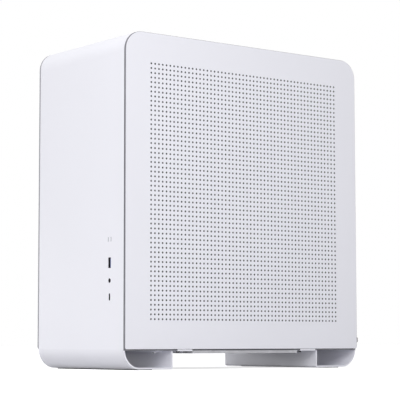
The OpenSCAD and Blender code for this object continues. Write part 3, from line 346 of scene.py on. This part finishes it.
def perforated_panel(node, side, body):
    low, high = (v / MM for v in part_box(node))
    verts, faces, smooth = [], [], []
    x_out, x_in = (high.x, low.x) if side > 0 else (low.x, high.x)
    soft = 0.6
    y0, z0 = low.y + FIRST_HOLE[0], low.z + FIRST_HOLE[1]
    cell = HOLE_PITCH / 2

    def add(x, y, z):
        verts.append((x * MM, y * MM, z * MM))
        return len(verts) - 1

    def edge(inset, x):
        radii = [PANEL_R[0] - inset] * 2 + [PANEL_R[1] - inset] * 2
        points = rounded_outline((low.y + inset, low.z + inset), (high.y - inset, high.z - inset), radii, 12)
        return [add(x, y, z) for y, z in points]

    inwards = -1 if x_out > x_in else 1
    x_field = x_out + inwards * FIELD_THICK
    bend = soft * (1 - math.sqrt(0.5))
    rows = [edge(soft, x_out), edge(bend, x_out + inwards * bend), edge(0, x_out + inwards * soft),
            edge(0, x_in - inwards * soft), edge(bend, x_in - inwards * bend), edge(soft, x_in)]
    for a, b in zip(rows, rows[1:]):
        start = len(faces)
        faces += loop_faces(a, b, flip=side > 0)
        smooth += range(start, len(faces))

    rims = []
    for x, outline, up in ((x_out, rows[0], True), (x_field, rows[-1], False)):
        grid = [[add(x, y0 - cell + HOLE_PITCH * i, z0 - cell + HOLE_PITCH * j)
                 for j in range(HOLE_ROWS + 1)] for i in range(HOLE_COLS + 1)]
        flip = up == (side < 0)
        for i in range(HOLE_COLS):
            for j in range(HOLE_ROWS):
                ring = []
                for k in range(HOLE_SIDES):
                    t = math.radians(225 + 360 * k / HOLE_SIDES)
                    ring.append(add(x, y0 + HOLE_PITCH * i + HOLE_R * math.cos(t),
                                    z0 + HOLE_PITCH * j + HOLE_R * math.sin(t)))
                if up:
                    rims.append(ring)
                else:
                    outer = rims[i * HOLE_ROWS + j]
                    faces.extend(loop_faces(outer, ring, flip=side < 0))
                corners = [grid[i][j], grid[i + 1][j], grid[i + 1][j + 1], grid[i][j + 1]]
                for q in range(4):
                    a, b = corners[q], corners[(q + 1) % 4]
                    h = [ring[(3 * q + m) % HOLE_SIDES] for m in range(4)]
                    parts = [(a, h[1], h[0]), (a, b, h[2], h[1]), (b, h[3], h[2])]
                    faces.extend(p[::-1] if flip else p for p in parts)
        border = ([grid[i][0] for i in range(HOLE_COLS)] + [grid[HOLE_COLS][j] for j in range(HOLE_ROWS)]
                  + [grid[i][HOLE_ROWS] for i in range(HOLE_COLS, 0, -1)]
                  + [grid[0][j] for j in range(HOLE_ROWS, 0, -1)])
        if not up:
            folded = [add(x_in, verts[v][1] / MM, verts[v][2] / MM) for v in border]
            faces.extend(loop_faces(border, folded, flip=side < 0))
            border = folded
        loops = [outline, border[::-1]]
        ids = loops[0] + loops[1]
        flat = [[Vector((verts[v][1], verts[v][2], 0)) for v in loop] for loop in loops]
        for tri in tessellate_polygon(flat):
            corner = [Vector(verts[ids[k]]) for k in tri]
            normal = (corner[1] - corner[0]).cross(corner[2] - corner[0])
            outward = side if up else -side
            faces.append(tuple(ids[k] for k in (tri if normal.x * outward > 0 else tri[::-1])))
    return piece(node + "_perforated", verts, faces, "panel_silver", body, [node], smooth)


# Black mesh sheet in the recess behind each field of holes, shaped as a dust mesh: painted shade, a dark sheet
# that makes all of the holes look equally dark.
MESH_THICK, MESH_SEAL = 0.45, 6.0


def hole_shade_mesh(node, side, body):
    low, high = (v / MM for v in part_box(node))
    start = [low.y + FIRST_HOLE[0] - HOLE_PITCH / 2 + 0.2, low.z + FIRST_HOLE[1] - HOLE_PITCH / 2 + 0.2]
    end = [start[0] + HOLE_COLS * HOLE_PITCH - 0.4, start[1] + HOLE_ROWS * HOLE_PITCH - 0.4]
    front = PANEL_OUT_X - FIELD_THICK - 0.02
    verts, faces = [], []
    loops = []
    # Heat-sealed border, thinner than the mesh inside it, then the mesh
    for inset, x in ((0, front - 0.1), (0, front), (MESH_SEAL, front), (MESH_SEAL, front - MESH_THICK),
                     (MESH_SEAL - 1, front - 0.2), (0, front - 0.2), (0, front - 0.1)):
        outline = rounded_outline([v + inset for v in start], [v - inset for v in end], [1.5] * 4, 4)
        loops.append(range(len(verts), len(verts) + len(outline)))
        verts.extend((side * x * MM, y * MM, z * MM) for y, z in outline)
    for a, b in zip(loops, loops[1:]):
        faces += loop_faces(list(a), list(b), flip=side < 0)
    faces += [tuple(loops[2])[::side], tuple(loops[3])[::-side]]
    return piece(body + "_hole_shade_mesh", verts, faces, "filter_mesh", body)


for node, side, body in (("right_side_panel", 1, "right_panel"), ("left_side_panel", -1, "left_panel")):
    perforated_panel(node, side, body)
    # Painted shade: a black sheet behind each panel's holes.
    hole_shade_mesh(node, side, body)


# Rear fan rotor: a rounded hub with seven swept, twisted blades
def fan_rotor():
    low, high = (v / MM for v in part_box("rear_fan_rotor"))
    cx, cz = (low.x + high.x) / 2, (low.z + high.z) / 2
    hub_r, tip_r = 20.0, (high.x - low.x) / 2
    y0, y1 = low.y, 184.45
    verts, faces, smooth = [], [], []
    turns = 48
    profile = [(0.01, y0), (hub_r - 4, y0), (hub_r - 2.4, y0 + 0.25), (hub_r - 0.9, y0 + 1.1),
               (hub_r - 0.2, y0 + 2.4), (hub_r, y0 + 4), (hub_r, y1), (hub_r - 2, y1), (hub_r - 2, y0 + 2.6),
               (3.8, y0 + 2.6), (3.8, y1 - 1), (1.5, y1 - 1), (1.5, high.y), (0.01, high.y)]
    rows = []
    for r, y in profile:
        row = []
        for k in range(turns):
            t = 2 * math.pi * k / turns
            verts.append(((cx + r * math.cos(t)) * MM, y * MM, (cz + r * math.sin(t)) * MM))
            row.append(len(verts) - 1)
        rows.append(row)
    for a, b in zip(rows, rows[1:]):
        faces += loop_faces(a, b, flip=True)
    smooth += range(len(faces))
    faces += [tuple(rows[0]), tuple(rows[-1][::-1])]
    mid = (y0 + y1) / 2 + 0.3
    spans, chords = 9, 9
    for blade in range(7):
        sections = []
        for i in range(spans + 1):
            u = i / spans
            r = hub_r - 0.6 + (tip_r - hub_r + 0.6) * u
            pitch = math.radians(44 - 17 * u)
            chord = 24 + 9 * u
            thick = 1.9 - 0.9 * u
            lean = 0.34 * u * u
            loop = []
            for sign in (1, -1):
                for k in range(chords + 1):
                    s = k / chords if sign > 0 else 1 - k / chords
                    if sign < 0 and k in (0, chords):
                        continue
                    camber = 1.7 * (1 - (2 * s - 1) ** 2)
                    half = thick / 2 * math.sqrt(max(0.02, 1 - (2 * s - 1) ** 4))
                    along, across = (s - 0.5) * chord, camber + sign * half
                    tangent = along * math.cos(pitch) - across * math.sin(pitch)
                    axial = along * math.sin(pitch) + across * math.cos(pitch)
                    t = 2 * math.pi * blade / 7 + lean + tangent / r
                    y = min(max(mid + axial, y0 + 0.2), y1 - 0.1)
                    verts.append(((cx + r * math.cos(t)) * MM, y * MM, (cz + r * math.sin(t)) * MM))
                    loop.append(len(verts) - 1)
            sections.append(loop)
        start = len(faces)
        for a, b in zip(sections, sections[1:]):
            faces += loop_faces(a, b)
        smooth += range(start, len(faces))
        faces += [tuple(sections[0][::-1]), tuple(sections[-1])]
    return piece("rear_fan_blades", verts, faces, "black_plastic", "rear_fan_rotor",
                 ["rear_fan_rotor"], smooth)


fan_rotor()


# Bottom filter: nylon threads, one set over the other, heat-sealed into a thin border
def filter_cloth():
    low, high = (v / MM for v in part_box("filter_mesh"))
    gap, pitch, thread, border = 6.0 - 4 + 0.2, 2.0, 0.34, 2.4
    mid_x = (low.x + high.x) / 2
    z = low.z
    verts, faces = [], []

    def bar(a, b):
        """Flattened thread or border strip, chamfered along its length."""
        dx, dy, dz = (b[i] - a[i] for i in range(3))
        c = min(dx, dy, dz) * 0.3
        start = len(verts)
        if dx > dy:
            section = [(a[1] + c, a[2]), (b[1] - c, a[2]), (b[1], a[2] + c), (b[1], b[2] - c),
                       (b[1] - c, b[2]), (a[1] + c, b[2]), (a[1], b[2] - c), (a[1], a[2] + c)]
            rows = [[(x, y, z_) for y, z_ in section] for x in (a[0], b[0])]
        else:
            section = [(a[0] + c, a[2]), (a[0], a[2] + c), (a[0], b[2] - c), (a[0] + c, b[2]),
                       (b[0] - c, b[2]), (b[0], b[2] - c), (b[0], a[2] + c), (b[0] - c, a[2])]
            rows = [[(x, y, z_) for x, z_ in section] for y in (a[1], b[1])]
        for row in rows:
            verts.extend((x * MM, y * MM, z_ * MM) for x, y, z_ in row)
        first, second = range(start, start + 8), range(start + 8, start + 16)
        faces.extend(loop_faces(list(first), list(second), flip=True))
        faces.extend([tuple(first), tuple(second)[::-1]])

    for x0, x1 in ((low.x, mid_x - gap / 2), (mid_x + gap / 2, high.x)):
        y0, y1 = low.y, high.y
        bar((x0, y0, z), (x1, y0 + border, z + 0.6))
        bar((x0, y1 - border, z), (x1, y1, z + 0.6))
        bar((x0, y0 + border, z), (x0 + border, y1 - border, z + 0.6))
        bar((x1 - border, y0 + border, z), (x1, y1 - border, z + 0.6))
        across = int((x1 - x0 - 2 * border) / pitch)
        step = (x1 - x0 - 2 * border) / across
        for k in range(1, across):
            x = x0 + border + k * step
            bar((x - thread / 2, y0 + border, z + 0.02), (x + thread / 2, y1 - border, z + 0.02 + thread))
        along = int((y1 - y0 - 2 * border) / pitch)
        step = (y1 - y0 - 2 * border) / along
        for k in range(1, along):
            y = y0 + border + k * step
            bar((x0 + border, y - thread / 2, z + 0.22), (x1 - border, y + thread / 2, z + 0.22 + thread))
    return piece("filter_cloth", verts, faces, "filter_mesh", "filter", ["filter_mesh"])


filter_cloth()


# Light, floor and camera
def area_light(name, place, aim, size, power):
    lamp = bpy.data.lights.new(name, "AREA")
    lamp.shape = "RECTANGLE"
    lamp.size, lamp.size_y = size
    lamp.energy = power
    made = bpy.data.objects.new(name, lamp)
    bpy.context.scene.collection.objects.link(made)
    made.location = place
    made.rotation_euler = (Vector(aim) - Vector(place)).to_track_quat("-Z", "Y").to_euler()


AMBIENT = 0.585
area_light("front_softbox", (-0.35, -1.6, 2.0), (0, 0, 0.3), (1.4, 1.4), 12)
area_light("right_softbox", (1.3, -0.95, 0.9), (0, -0.1, 0.22), (1.0, 1.0), 13.6)
area_light("left_softbox", (-1.5, -0.25, 0.10), (0, 0.1, 0.02), (0.5, 0.18), 8)

world = bpy.data.worlds.new("studio")
bpy.context.scene.world = world
world.use_nodes = True
sky = Tree(world.node_tree)
strength = sky.seen_or_mirrored() * (1 - AMBIENT) + AMBIENT
backdrop = sky.node("Background", sockets={"Color": (1.0, 1.0, 1.0, 1.0), "Strength": strength})
sky.node("OutputWorld", sockets={"Surface": backdrop})


def studio_floor():
    """Pale floor: white where it is seen, with the object's own shadow on it."""
    f = Finish("studio_floor")
    paint = f.mix(f.noise(400, 2), (0.66, 0.66, 0.67), (0.70, 0.70, 0.71))
    matt = f.node("BsdfDiffuse", sockets={"Color": paint, "Roughness": 0.6})
    glow = f.node("Emission", sockets={"Color": (1.0, 1.0, 1.0, 1.0), "Strength": 0.72})
    lit = f.node("AddShader", sockets={0: matt, 1: glow})
    both = f.node("MixShader", sockets={0: f.seen_or_mirrored(), 1: matt, 2: lit})
    f.node("OutputMaterial", sockets={"Surface": both})
    half = 12.0
    mesh = bpy.data.meshes.new("floor")
    corners = [(-half, -half), (half, -half), (half, half), (-half, half)]
    mesh.from_pydata([(x, y, -0.00005) for x, y in corners], [], [(0, 1, 2, 3)])
    mesh.materials.append(f.material)
    floor = bpy.data.objects.new("floor", mesh)
    bpy.context.scene.collection.objects.link(floor)


studio_floor()

lens = bpy.data.cameras.new("camera")
lens.sensor_width = 36.0
lens.lens = 141.81
lens.clip_end = 100.0
camera = bpy.data.objects.new("camera", lens)
bpy.context.scene.collection.objects.link(camera)
camera.location = (1.70819, -1.31528, 0.03334)
AZIMUTH, RISE, ROLL = (math.radians(v) for v in (52.488, 5.199, -0.073))
facing = Euler((math.pi / 2 + RISE, 0, AZIMUTH)).to_quaternion()
camera.rotation_euler = (facing @ Euler((0, 0, ROLL)).to_quaternion()).to_euler()
bpy.context.scene.camera = camera
bpy.context.scene.view_settings.view_transform = "Standard"
